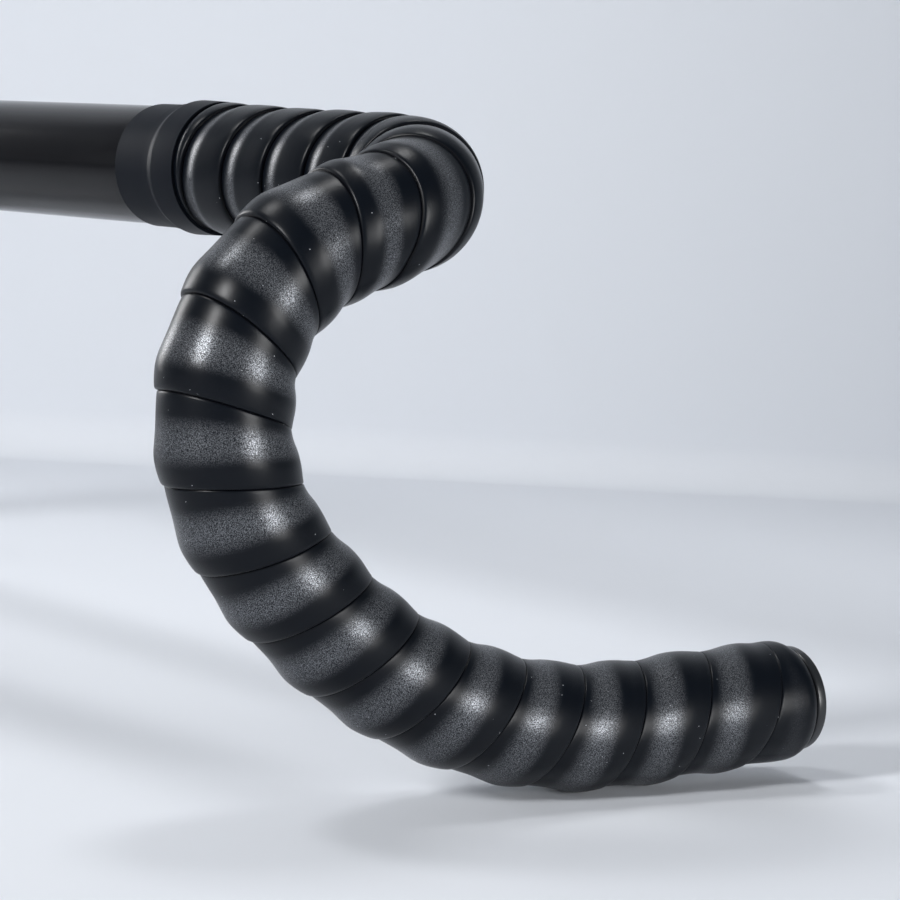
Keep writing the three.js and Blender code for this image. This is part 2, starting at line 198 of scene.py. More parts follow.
def frames_on_span(span, travel):
    """Point, tangent and normal at each travelled length of one straight or bend."""
    count = len(travel)
    if span["radius"] == 0:
        point = span["point"] + np.outer(travel, span["tangent"])
        return point, np.tile(span["tangent"], (count, 1)), np.tile(span["normal"], (count, 1))
    turn = travel / span["radius"]
    inward = np.cross(span["axis"], span["tangent"]) * span["radius"]
    centre = span["point"] + inward
    point = centre + rotated(-inward, span["axis"], turn)
    tangent = rotated(span["tangent"], span["axis"], turn)
    normal = rotated(span["normal"], span["axis"], turn)
    return point, tangent, normal


def centreline_spans(bar):
    """The left half's centreline, a chain of straights and bends from the stem clamp."""
    spans = []
    state = {
        "point": np.zeros(3),
        "tangent": np.array([-1.0, 0.0, 0.0]),
        "normal": np.array([0.0, 0.0, 1.0]),
        "start": 0.0,
    }

    def add(span_length, axis=None, radius=0.0):
        span = dict(state, axis=axis, radius=radius, end=state["start"] + span_length)
        spans.append(span)
        point, tangent, normal = frames_on_span(span, np.array([span_length]))
        state.update(point=point[0], tangent=tangent[0], normal=normal[0], start=span["end"])

    add(bar.half_width - bar.corner_radius)
    ramp = np.array([0.0, math.cos(bar.ramp_slope), -math.sin(bar.ramp_slope)])
    axis = np.cross(state["tangent"], ramp)
    add(bar.corner_radius * bar.corner_turn, axis / np.linalg.norm(axis), bar.corner_radius)
    add(bar.ramp_length)
    axis = np.cross(state["tangent"], np.array([0.0, 0.0, -1.0]))
    axis = axis / np.linalg.norm(axis)
    add(bar.hook_top_radius * bar.hook_top_turn, axis, bar.hook_top_radius)
    add(bar.hook_middle_radius * bar.hook_middle_turn, axis, bar.hook_middle_radius)
    add(bar.hook_low_radius * bar.hook_low_turn, axis, bar.hook_low_radius)
    add(bar.drop_length)
    return spans


def frames_along(spans, distances):
    """Point, tangent and normal at each distance; past the last straight it runs straight on."""
    distances = np.asarray(distances, dtype=float)
    point = np.zeros((len(distances), 3))
    tangent = np.zeros((len(distances), 3))
    normal = np.zeros((len(distances), 3))
    last = len(spans) - 1
    for index, span in enumerate(spans):
        chosen = np.ones(len(distances), dtype=bool)
        if index > 0:
            chosen &= distances > span["start"]
        if index < last:
            chosen &= distances <= span["end"]
        if chosen.any():
            parts = frames_on_span(span, distances[chosen] - span["start"])
            point[chosen], tangent[chosen], normal[chosen] = parts
    return point, tangent, normal


def smooth_share(value, low, high):
    share = np.clip((value - low) / (high - low), 0.0, 1.0)
    return share * share * (3.0 - 2.0 * share)


def taper_share(bar, distance):
    return smooth_share(distance, bar.taper_start, bar.taper_start + bar.taper_length)


def tube_radius(bar, distance):
    share = taper_share(bar, distance)
    return bar.clamp_radius + (bar.grip_radius - bar.clamp_radius) * share


def taped_radius(bar, tape, distance):
    growth = (tape.grip_build_up - tape.start_build_up) * taper_share(bar, distance)
    return tube_radius(bar, distance) + tape.start_build_up + growth


class Winding:
    """Turns of tape along the bar: even on the tops, tightest round the corner, widest at the end."""

    def __init__(self, tape, spans):
        corner, hook = spans[1], spans[3]
        self.distances = [
            tape.first_edge,
            corner["start"] - tape.corner_ease,
            (corner["start"] + corner["end"]) / 2.0,
            hook["start"] + tape.hook_ease,
            spans[-1]["end"],
        ]
        pitches = [tape.tops_pitch, tape.tops_pitch, tape.corner_pitch, tape.hook_pitch, tape.end_pitch]
        self.fine_distances = np.linspace(0.0, spans[-1]["end"] + 0.1, 4000)
        pitch = np.interp(self.fine_distances, self.distances, pitches)
        steps = np.diff(self.fine_distances) * 2.0 / (pitch[1:] + pitch[:-1])
        turns = np.concatenate([[0.0], np.cumsum(steps)])
        self.fine_turns = turns - np.interp(tape.first_edge, self.fine_distances, turns)

    def distance(self, turn):
        return np.interp(turn, self.fine_turns, self.fine_distances)

    def turn(self, distance):
        return np.interp(distance, self.fine_distances, self.fine_turns)


# Modelling by rings on a straight axis

def clear_selection():
    if bpy.context.mode != "OBJECT":
        bpy.ops.object.mode_set(mode="OBJECT")
    bpy.ops.object.select_all(action="DESELECT")


def make_active(piece):
    clear_selection()
    piece.select_set(True)
    bpy.context.view_layer.objects.active = piece


def select_vertices(piece, chosen):
    """Selects the vertices whose place passes a test, and stays in edit mode."""
    make_active(piece)
    bpy.ops.object.mode_set(mode="EDIT")
    bpy.ops.mesh.select_mode(type="VERT")
    bpy.ops.mesh.select_all(action="DESELECT")
    bpy.ops.object.mode_set(mode="OBJECT")
    for vertex in piece.data.vertices:
        vertex.select = chosen(vertex.co)
    bpy.ops.object.mode_set(mode="EDIT")


def ring_stack(name, profile, segments, closed):
    """A turned shape: a circle extruded and scaled from one (radius, height) to the next."""
    clear_selection()
    radius, height = profile[0]
    bpy.ops.mesh.primitive_circle_add(vertices=segments, radius=radius, fill_type="NOTHING")
    piece = bpy.context.active_object
    piece.name = name
    piece.data.name = name
    bpy.ops.object.mode_set(mode="EDIT")
    bpy.ops.mesh.select_all(action="SELECT")
    bpy.ops.transform.translate(value=(0.0, 0.0, height))
    for next_radius, next_height in profile[1:]:
        extrude_ring(radius, height, next_radius, next_height)
        radius, height = next_radius, next_height
    if closed:
        bpy.ops.mesh.select_all(action="DESELECT")
        bpy.ops.mesh.select_non_manifold()
        bpy.ops.mesh.bridge_edge_loops()
    bpy.ops.object.mode_set(mode="OBJECT")
    return piece


def extrude_ring(radius, height, next_radius, next_height):
    bpy.ops.mesh.extrude_region_move(
        TRANSFORM_OT_translate={"value": (0.0, 0.0, next_height - height)}
    )
    scale = next_radius / radius
    bpy.ops.transform.resize(value=(scale, scale, 1.0), center_override=(0.0, 0.0, next_height))


def mesh_points(piece):
    points = np.empty(len(piece.data.vertices) * 3)
    piece.data.vertices.foreach_get("co", points)
    return points.reshape(-1, 3)


def set_mesh_points(piece, points):
    piece.data.vertices.foreach_set("co", np.ascontiguousarray(points, dtype=np.float32).ravel())
    piece.data.update()


def bend_onto_bar(piece, spans, side):
    """Carries a piece modelled on a straight Z axis, with Z the distance along the bar, onto it."""
    points = mesh_points(piece)
    centre, tangent, normal = frames_along(spans, points[:, 2])
    across = np.cross(tangent, normal)
    placed = centre + points[:, :1] * normal - points[:, 1:2] * across
    if side == RIGHT:
        placed[:, 0] *= -1.0
    set_mesh_points(piece, placed)
    face_outwards(piece)


def face_outwards(piece):
    make_active(piece)
    bpy.ops.object.mode_set(mode="EDIT")
    bpy.ops.mesh.select_all(action="SELECT")
    bpy.ops.mesh.normals_make_consistent(inside=False)
    bpy.ops.object.mode_set(mode="OBJECT")


def shade(piece, degrees):
    make_active(piece)
    bpy.ops.object.shade_smooth_by_angle(angle=math.radians(degrees))


def apply_modifier(piece, modifier):
    make_active(piece)
    bpy.ops.object.modifier_apply(modifier=modifier.name)


def finish_piece(piece, material, slot_name, *nodes):
    piece.data.materials.clear()
    piece.data.materials.append(material)
    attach(piece, "root")
    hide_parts(*nodes)


def twin(piece, name):
    """A copy of a straight piece with its own mesh, for the other half."""
    make_active(piece)
    bpy.ops.object.duplicate(linked=False)
    copy = bpy.context.active_object
    copy.name = name
    copy.data.name = name
    return copy


# Shared material effects

def new_group(name, inputs, outputs):
    group = bpy.data.node_groups.new(name, "ShaderNodeTree")
    for socket_name, kind, value in inputs:
        socket = group.interface.new_socket(name=socket_name, in_out="INPUT", socket_type=kind)
        if value is not None:
            socket.default_value = value
    for socket_name, kind in outputs:
        group.interface.new_socket(name=socket_name, in_out="OUTPUT", socket_type=kind)
    enter = group.nodes.new("NodeGroupInput")
    leave = group.nodes.new("NodeGroupOutput")
    return group, enter, leave


def grain_group():
    """Fine pebbled grain with a slow unevenness, as a height and a roughness change."""
    group, enter, leave = new_group(
        "Fine Grain",
        [
            ("Vector", "NodeSocketVector", None),
            ("Grain Scale", "NodeSocketFloat", 2600.0),
            ("Unevenness Scale", "NodeSocketFloat", 90.0),
            ("Unevenness", "NodeSocketFloat", 0.35),
        ],
        [
            ("Height", "NodeSocketFloat"),
            ("Variation", "NodeSocketFloat"),
            ("Sparkle", "NodeSocketFloat"),
        ],
    )
    nodes, links = group.nodes, group.links
    fine = nodes.new("ShaderNodeTexNoise")
    fine.inputs["Detail"].default_value = 3.0
    fine.inputs["Roughness"].default_value = 0.7
    slow = nodes.new("ShaderNodeTexNoise")
    slow.inputs["Detail"].default_value = 2.0
    mixed = nodes.new("ShaderNodeMath")
    mixed.operation = "MULTIPLY_ADD"
    links.new(enter.outputs["Vector"], fine.inputs["Vector"])
    links.new(enter.outputs["Vector"], slow.inputs["Vector"])
    links.new(enter.outputs["Grain Scale"], fine.inputs["Scale"])
    links.new(enter.outputs["Unevenness Scale"], slow.inputs["Scale"])
    links.new(slow.outputs["Fac"], mixed.inputs[0])
    links.new(enter.outputs["Unevenness"], mixed.inputs[1])
    links.new(fine.outputs["Fac"], mixed.inputs[2])
    links.new(mixed.outputs[0], leave.inputs["Height"])
    links.new(slow.outputs["Fac"], leave.inputs["Variation"])
    bright = nodes.new("ShaderNodeMapRange")
    bright.inputs["From Min"].default_value = 0.44
    bright.inputs["From Max"].default_value = 0.66
    links.new(fine.outputs["Fac"], bright.inputs["Value"])
    links.new(bright.outputs["Result"], leave.inputs["Sparkle"])
    return group


def dust_group():
    """A mask of sparse dust specks, one in a few of the cells of a fine pattern."""
    group, enter, leave = new_group(
        "Dust Specks",
        [
            ("Vector", "NodeSocketVector", None),
            ("Scale", "NodeSocketFloat", 620.0),
            ("Size", "NodeSocketFloat", 0.065),
            ("Share", "NodeSocketFloat", 0.14),
        ],
        [("Mask", "NodeSocketFloat")],
    )
    nodes, links = group.nodes, group.links
    cells = nodes.new("ShaderNodeTexVoronoi")
    near = nodes.new("ShaderNodeMath")
    near.operation = "LESS_THAN"
    tint = nodes.new("ShaderNodeSeparateColor")
    chosen = nodes.new("ShaderNodeMath")
    chosen.operation = "LESS_THAN"
    both = nodes.new("ShaderNodeMath")
    both.operation = "MULTIPLY"
    links.new(enter.outputs["Vector"], cells.inputs["Vector"])
    links.new(enter.outputs["Scale"], cells.inputs["Scale"])
    links.new(cells.outputs["Distance"], near.inputs[0])
    links.new(enter.outputs["Size"], near.inputs[1])
    links.new(cells.outputs["Color"], tint.inputs["Color"])
    links.new(tint.outputs["Red"], chosen.inputs[0])
    links.new(enter.outputs["Share"], chosen.inputs[1])
    links.new(near.outputs[0], both.inputs[0])
    links.new(chosen.outputs[0], both.inputs[1])
    links.new(both.outputs[0], leave.inputs["Mask"])
    return group


def shared_group(name, builder):
    return bpy.data.node_groups.get(name) or builder()


def place_group(nodes, group, **values):
    node = nodes.new("ShaderNodeGroup")
    node.node_tree = group
    for socket_name, value in values.items():
        node.inputs[socket_name.replace("_", " ")].default_value = value
    return node


def start_material(name, base, roughness, metallic=0.0):
    """A material with its shader, output and object coordinates."""
    material = bpy.data.materials.new(name)
    material.use_nodes = True
    nodes = material.node_tree.nodes
    shader = nodes["Principled BSDF"]
    shader.inputs["Base Color"].default_value = base
    shader.inputs["Roughness"].default_value = roughness
    shader.inputs["Metallic"].default_value = metallic
    place = nodes.new("ShaderNodeTexCoord")
    return material, nodes, material.node_tree.links, shader, place


def add_bump(nodes, links, shader, height, strength, distance):
    bump = nodes.new("ShaderNodeBump")
    bump.inputs["Strength"].default_value = strength
    bump.inputs["Distance"].default_value = distance
    links.new(height, bump.inputs["Height"])
    links.new(bump.outputs["Normal"], shader.inputs["Normal"])


def add_roughness_range(nodes, links, shader, value, low, high):
    spread = nodes.new("ShaderNodeMapRange")
    spread.inputs["To Min"].default_value = low
    spread.inputs["To Max"].default_value = high
    links.new(value, spread.inputs["Value"])
    links.new(spread.outputs["Result"], shader.inputs["Roughness"])


def mix_colours(nodes, links, mask, base, over):
    """Lays a colour over a colour or a colour socket where the mask is."""
    mix = nodes.new("ShaderNodeMix")
    mix.data_type = "RGBA"
    links.new(mask, mix.inputs["Factor"])
    if isinstance(base, bpy.types.NodeSocket):
        links.new(base, mix.inputs["A"])
    else:
        mix.inputs["A"].default_value = base
    mix.inputs["B"].default_value = over
    return mix.outputs["Result"]


# Metallic share of the painted highlight bands on the tape.
HIGHLIGHT_BAND_METAL = 0.9


def tape_material(finishes):
    material, nodes, links, shader, place = start_material("Bar Tape", finishes.tape, 0.27)
    shader.inputs["Specular IOR Level"].default_value = 0.16
    grain = place_group(nodes, shared_group("Fine Grain", grain_group), Grain_Scale=4200.0)
    links.new(place.outputs["Object"], grain.inputs["Vector"])
    add_bump(nodes, links, shader, grain.outputs["Height"], 0.3, 0.00006)
    add_roughness_range(nodes, links, shader, grain.outputs["Variation"], 0.27, 0.37)
    # Painted highlight: the band attribute, broken up by the fine grain, lays a pale silvery, partly
    # metallic colour where the sheen falls on each turn.
    painted_highlight = nodes.new("ShaderNodeAttribute")
    painted_highlight.attribute_name = "painted_highlight"
    silvery = nodes.new("ShaderNodeMath")
    silvery.operation = "MULTIPLY"
    links.new(painted_highlight.outputs["Fac"], silvery.inputs[0])
    links.new(grain.outputs["Sparkle"], silvery.inputs[1])
    crease = nodes.new("ShaderNodeAttribute")
    crease.attribute_name = "crease"
    dust = place_group(nodes, shared_group("Dust Specks", dust_group))
    links.new(place.outputs["Object"], dust.inputs["Vector"])
    metal = nodes.new("ShaderNodeMath")
    metal.operation = "MULTIPLY"
    metal.inputs[1].default_value = HIGHLIGHT_BAND_METAL
    links.new(silvery.outputs[0], metal.inputs[0])
    links.new(metal.outputs[0], shader.inputs["Metallic"])
    face = mix_colours(nodes, links, silvery.outputs[0], finishes.tape, finishes.painted_highlight)
    face = mix_colours(nodes, links, crease.outputs["Fac"], face, finishes.crease)
    face = mix_colours(nodes, links, dust.outputs["Mask"], face, finishes.dust)
    links.new(face, shader.inputs["Base Color"])
    return material


def grained_material(name, base, grain_scale, slow_scale, bump, roughness, metallic=0.0):
    """A plain finish with grain: bump is a strength and a depth, roughness its low and high."""
    material, nodes, links, shader, place = start_material(name, base, roughness[0], metallic)
    grain = place_group(
        nodes,
        shared_group("Fine Grain", grain_group),
        Grain_Scale=grain_scale,
        Unevenness_Scale=slow_scale,
    )
    links.new(place.outputs["Object"], grain.inputs["Vector"])
    add_bump(nodes, links, shader, grain.outputs["Height"], *bump)
    add_roughness_range(nodes, links, shader, grain.outputs["Variation"], *roughness)
    return material, shader


def tube_material(finishes):
    material, shader = grained_material(
        "Gloss Tube", finishes.tube, 700.0, 40.0, bump=(0.04, 0.0001), roughness=(0.12, 0.18)
    )
    shader.inputs["Specular IOR Level"].default_value = 0.2
    return material


def vinyl_material(finishes):
    material, shader = grained_material(
        "Finishing Tape", finishes.finishing, 1500.0, 150.0, bump=(0.08, 0.0001), roughness=(0.38, 0.5)
    )
    shader.inputs["Specular IOR Level"].default_value = 0.06
    return material


def moulded_material(name, base, rough_low, rough_high):
    return grained_material(
        name, base, 3200.0, 200.0, bump=(0.1, 0.00008), roughness=(rough_low, rough_high)
    )[0]


def steel_material(finishes):
    return grained_material(
        "Zinc Plated Steel", finishes.steel, 1800.0, 300.0,
        bump=(0.08, 0.00005), roughness=(0.28, 0.45), metallic=1.0,
    )[0]


# Pieces

class HANDLEBAR_OT_bare_tube(bpy.types.Operator):
    """Build the bent and tapered tube, open at both ends"""

    bl_idname = "handlebar.bare_tube"
    bl_label = "Bare Tube"

    def execute(self, context):
        bar = context.scene.handlebar_bar
        spans = centreline_spans(bar)
        stations = tube_stations(bar, spans)
        lip = 0.3 * MILLIMETRE
        end = spans[-1]["end"]
        outside = [(tube_radius(bar, distance), distance) for distance in stations if distance < end - lip]
        inside = [(radius - bar.wall, distance) for radius, distance in reversed(outside)]
        outer_lip = [(bar.grip_radius, end - lip), (bar.grip_radius - lip, end)]
        inner_lip = [(bar.grip_radius - bar.wall + lip, end), (bar.grip_radius - bar.wall, end - lip)]
        tube = ring_stack("bare_tube", outside + outer_lip + inner_lip + inside, 64, closed=False)
        bend_onto_bar(tube, spans, LEFT)
        mirror = tube.modifiers.new("Other Half", "MIRROR")
        mirror.use_axis = (True, False, False)
        mirror.use_mirror_merge = True
        mirror.merge_threshold = 0.00001
        apply_modifier(tube, mirror)
        face_outwards(tube)
        shade(tube, 50)
        finishes = context.scene.handlebar_finishes
        finish_piece(tube, tube_material(finishes), "handlebar_tube", "handlebar")
        return {"FINISHED"}


def tube_stations(bar, spans):
    """Distances of the tube's rings: close together in the taper and the bends."""
    taper_step = 6 * MILLIMETRE
    bend_step = math.radians(5)
    stations = [0.0]
    taper_end = bar.taper_start + bar.taper_length
    stations.extend(np.linspace(bar.taper_start, taper_end, math.ceil(bar.taper_length / taper_step) + 1))
    for span in spans[1:]:
        count = 1
        if span["radius"] > 0:
            count = math.ceil((span["end"] - span["start"]) / span["radius"] / bend_step)
        stations.extend(np.linspace(span["start"], span["end"], count + 1))
    return sorted(set(round(float(distance), 6) for distance in stations))


# One turn's section from the groove at its stem-ward edge to the next groove: share of the
# pitch, then the height over the mean in millimetres on a straight, on the outer side of a
# bend, where the tape is pulled tight, and on its inner side, where it bunches up.
TURN_SECTION = [
    (0.000, -1.05, -0.95, -0.80),
    (0.008, -0.74, -0.66, -0.50),
    (0.030, -0.68, -0.60, -0.45),
    (0.080, -0.60, -0.58, -0.40),
    (0.130, -0.47, -0.57, -0.33),
    (0.180, -0.29, -0.56, -0.23),
    (0.220, -0.12, -0.55, -0.12),
    (0.260, 0.06, -0.53, 0.01),
    (0.300, 0.21, -0.50, 0.14),
    (0.350, 0.35, -0.44, 0.29),
    (0.400, 0.42, -0.35, 0.40),
    (0.450, 0.45, -0.22, 0.47),
    (0.500, 0.46, -0.06, 0.50),
    (0.540, 0.46, 0.08, 0.50),
    (0.580, 0.47, 0.23, 0.49),
    (0.620, 0.47, 0.37, 0.46),
    (0.650, 0.47, 0.46, 0.43),
    (0.680, 0.46, 0.53, 0.39),
    (0.710, 0.46, 0.57, 0.34),
    (0.740, 0.45, 0.58, 0.28),
    (0.780, 0.44, 0.55, 0.18),
    (0.830, 0.41, 0.48, 0.05),
    (0.880, 0.36, 0.37, -0.09),
    (0.930, 0.28, 0.24, -0.22),
    (0.965, 0.16, 0.10, -0.32),
    (0.982, 0.02, -0.08, -0.40),
    (0.992, -0.30, -0.35, -0.50),
    (1.000, -1.05, -0.95, -0.80),
]


def one_turn_outline(name):
    """A polyline of one turn on a unit axis, extruded point by point from a single vertex."""
    clear_selection()
    bpy.ops.mesh.primitive_plane_add(size=1.0)
    piece = bpy.context.active_object
    piece.name = name
    piece.data.name = name
    bpy.ops.object.mode_set(mode="EDIT")
    bpy.ops.mesh.select_all(action="SELECT")
    bpy.ops.mesh.merge(type="CENTER")
    share, height = TURN_SECTION[0][:2]
    bpy.ops.transform.translate(value=(1.0 + height * MILLIMETRE, 0.0, share))
    for next_share, next_height, _, _ in TURN_SECTION[1:]:
        move = ((next_height - height) * MILLIMETRE, 0.0, next_share - share)
        bpy.ops.mesh.extrude_region_move(TRANSFORM_OT_translate={"value": move})
        share, height = next_share, next_height
    bpy.ops.object.mode_set(mode="OBJECT")
    return piece


def wind_turns(piece, turns, columns):
    """Screws the one-turn outline up its axis, one unit a turn."""
    screw = piece.modifiers.new("Winding", "SCREW")
    screw.angle = 2.0 * math.pi
    screw.screw_offset = 1.0
    screw.iterations = turns
    screw.steps = columns
    screw.render_steps = columns
    screw.use_merge_vertices = False
    apply_modifier(piece, screw)
    bpy.ops.object.mode_set(mode="EDIT")
    bpy.ops.mesh.select_all(action="SELECT")
    bpy.ops.mesh.remove_doubles(threshold=0.001)
    bpy.ops.object.mode_set(mode="OBJECT")


def trim_across(piece, height, keep_above):
    """Cuts the winding square across its axis and leaves the cut ring open and selected."""
    make_active(piece)
    bpy.ops.object.mode_set(mode="EDIT")
    bpy.ops.mesh.select_all(action="SELECT")
    bpy.ops.mesh.bisect(
        plane_co=(0.0, 0.0, height),
        plane_no=(0.0, 0.0, 1.0),
        clear_inner=keep_above,
        clear_outer=not keep_above,
    )
    bpy.ops.object.mode_set(mode="OBJECT")


def bend_bearings(spans):
    """Bearing of the bend's centre round the tube, for the corner and for the hook."""
    bearings = []
    for span in (spans[1], spans[3]):
        inward = np.cross(span["axis"], span["tangent"])
        across = np.cross(span["tangent"], span["normal"])
        bearings.append(math.atan2(-np.dot(inward, across), np.dot(inward, span["normal"])))
    return bearings


def section_height(share, inner, bent):
    """Height of a turn's section, between its straight, outer and inner forms."""
    table = np.array(TURN_SECTION)
    straight, outside, inside = (
        np.interp(share, table[:, 0], table[:, column] * MILLIMETRE) for column in (1, 2, 3)
    )
    curved = outside + (inside - outside) * inner
    return straight + (curved - straight) * bent


# Middle and half width of the painted highlight band, a pale silvery stripe laid where the sheen falls on
# each turn, as shares of the pitch, on a straight, on the outer side of a bend and on its inner side.
HIGHLIGHT_BAND_MIDDLE = (0.25, 0.50, 0.30)
HIGHLIGHT_BAND_REACH = (0.16, 0.28, 0.26)


def highlight_band_share(share, inner, bent):
    """How strongly the painted highlight is laid on: a pale silvery grain where the tape climbs over the
    turn below.
    """
    middle, reach = (
        straight + (outside + (inside - outside) * inner - straight) * bent
        for straight, outside, inside in (HIGHLIGHT_BAND_MIDDLE, HIGHLIGHT_BAND_REACH)
    )
    return np.clip(1.0 - ((share - middle) / reach) ** 2, 0.0, 1.0) ** 1.5


# Lengths over which the winding changes from one form to another
PAST_CORNER_EASE = 10 * MILLIMETRE
BEND_LEAD = 5 * MILLIMETRE
SETTLING = 20 * MILLIMETRE
RELEASE_LEAD = 0.5 * MILLIMETRE
RELEASE = 2.5 * MILLIMETRE
CREASE_WIDTH = 0.25 * MILLIMETRE


def lay_turns(piece, bar, tape, finishing, spans, winding):
    """From turn units to lengths: the pitch, the taped radius and the hand-wound unevenness."""
    points = mesh_points(piece)
    turn = points[:, 2]
    around = np.arctan2(points[:, 1], points[:, 0])
    share = np.mod(turn - around / (2.0 * math.pi) + 1e-4, 1.0) - 1e-4
    share = np.clip(share, 0.0, 1.0)
    wound = np.round(turn - around / (2.0 * math.pi) - share)
    last_turn = winding.turn(winding_end(bar, tape))
    distance = winding.distance(turn)

    corner, hook = spans[1], spans[3]
    corner_bearing, hook_bearing = bend_bearings(spans)
    past_corner = smooth_share(
        distance, corner["end"] - PAST_CORNER_EASE, hook["start"] + PAST_CORNER_EASE
    )
    inner_x = math.cos(corner_bearing) * (1.0 - past_corner) + math.cos(hook_bearing) * past_corner
    inner_y = math.sin(corner_bearing) * (1.0 - past_corner) + math.sin(hook_bearing) * past_corner
    facing = (np.cos(around) * inner_x + np.sin(around) * inner_y) / np.hypot(inner_x, inner_y)
    inner = 0.5 + 0.5 * facing
    bent = smooth_share(distance, corner["start"] - BEND_LEAD, corner["end"])
    height = section_height(share, inner, bent)

    wander = np.sin(2.3 * wound + 0.6) + 0.7 * np.sin(1.3 * wound + 1.7 * np.cos(around) + 2.0)
    settled = smooth_share(distance, tape.first_edge, tape.first_edge + SETTLING)
    near_end = smooth_share(turn, last_turn - 0.5, last_turn)
    swell = np.sin(math.pi * share) ** 2
    height = height + tape.unevenness * wander * swell * settled
    height = height * (1.0 - near_end)
    covered = finishing_end(finishing)
    free = smooth_share(distance, covered - RELEASE_LEAD, covered + RELEASE)
    height = height * free - tape.pressed * (1.0 - free)

    leaning = smooth_share(distance, corner["start"], corner["end"])
    leaning = leaning * (1.0 - smooth_share(turn, last_turn - 0.8, last_turn - 0.02))
    distance = distance + tape.lean * leaning * np.sin(around - tape.lean_bearing)
    radius = taped_radius(bar, tape, distance) + height
    placed = np.column_stack([radius * np.cos(around), radius * np.sin(around), distance])
    set_mesh_points(piece, placed)

    from_edge = np.minimum(share, 1.0 - share) * winding_pitch(winding, turn)
    crease = np.clip(1.0 - from_edge / CREASE_WIDTH, 0.0, 1.0) * (1.0 - near_end)
    # Painted highlight: the second mask marks where the pale silvery band is painted on each turn's
    # climbing slope, standing in for sheen.
    painted_highlight = highlight_band_share(share, inner, bent) * (1.0 - near_end) * free
    for name, values in (("crease", crease), ("painted_highlight", painted_highlight)):
        attribute = piece.data.attributes.new(name, "FLOAT", "POINT")
        attribute.data.foreach_set("value", values.astype(np.float32))


def finishing_end(finishing):
    return finishing.start + finishing.width


def winding_pitch(winding, turn):
    return winding.distance(turn + 0.5) - winding.distance(turn - 0.5)


def winding_end(bar, tape):
    return centreline_spans(bar)[-1]["end"] + tape.fold_overhang - tape.fold_length


def tape_lining(piece, bar, tape, spans, start):
    """Folds the tape over the bar's end, tucks it in and lines it back along the tube."""
    end = spans[-1]["end"]
    height = winding_end(bar, tape)
    radius = float(taped_radius(bar, tape, height))
    flat_radius = radius - tape.fold_round
    tuck_outer = bar.grip_radius - bar.wall - CLEARANCE
    tuck_inner = tuck_outer - tape.tuck_thickness
    fold_steps = 8
    stops = []
    for step in range(1, fold_steps + 1):
        turn = step / fold_steps * math.pi / 2.0
        stops.append((
            flat_radius + tape.fold_round * math.cos(turn),
            height + tape.fold_length * math.sin(turn),
        ))
    stops.extend([
        (tuck_inner + CLEARANCE * 2, end + tape.fold_overhang),
        (tuck_inner, end + tape.fold_overhang - CLEARANCE * 2),
        (tuck_inner, end - tape.tuck_depth),
        (tuck_outer, end - tape.tuck_depth),
        (tuck_outer, end + CLEARANCE),
        (bar.grip_radius + CLEARANCE, end + CLEARANCE),
    ])
    stations = [distance for distance in tube_stations(bar, spans) if start < distance < end]
    for distance in [*reversed(stations), start]:
        stops.append((float(tube_radius(bar, distance)) + CLEARANCE, distance))
    reach = 0.01 * MILLIMETRE
    ring = height
    select_vertices(piece, lambda place: abs(place.z - ring) < reach)
    for next_radius, next_height in stops:
        extrude_ring(radius, height, next_radius, next_height)
        radius, height = next_radius, next_height
    bpy.ops.mesh.select_all(action="DESELECT")
    bpy.ops.mesh.select_non_manifold()
    bpy.ops.mesh.bridge_edge_loops()
    bpy.ops.object.mode_set(mode="OBJECT")


class HANDLEBAR_OT_bar_tape(bpy.types.Operator):
    """Wind the padded tape on both halves and tuck it into the bar's ends"""

    bl_idname = "handlebar.bar_tape"
    bl_label = "Bar Tape"

    def execute(self, context):
        bar = context.scene.handlebar_bar
        tape = context.scene.handlebar_tape
        finishing = context.scene.handlebar_finishing
        spans = centreline_spans(bar)
        winding = Winding(tape, spans)
        start = finishing_end(finishing) - finishing.overlap
        first_turn = winding.turn(start)
        last_turn = winding.turn(winding_end(bar, tape))
        spare_turns = 2
        straight = one_turn_outline("left_wound_tape")
        wind_turns(straight, math.ceil(last_turn) + 2 * spare_turns, tape.columns)
        points = mesh_points(straight)
        points[:, 2] -= spare_turns
        set_mesh_points(straight, points)
        trim_across(straight, first_turn, keep_above=True)
        trim_across(straight, last_turn, keep_above=False)
        lay_turns(straight, bar, tape, finishing, spans, winding)
        tape_lining(straight, bar, tape, spans, start)
        other = twin(straight, "right_wound_tape")
        material = tape_material(context.scene.handlebar_finishes)
        for side, piece in ((LEFT, straight), (RIGHT, other)):
            bend_onto_bar(piece, spans, side)
            shade(piece, 60)
            finish_piece(piece, material, "bar_tape", f"{SIDE_NAMES[side]}_bar_tape")
        return {"FINISHED"}


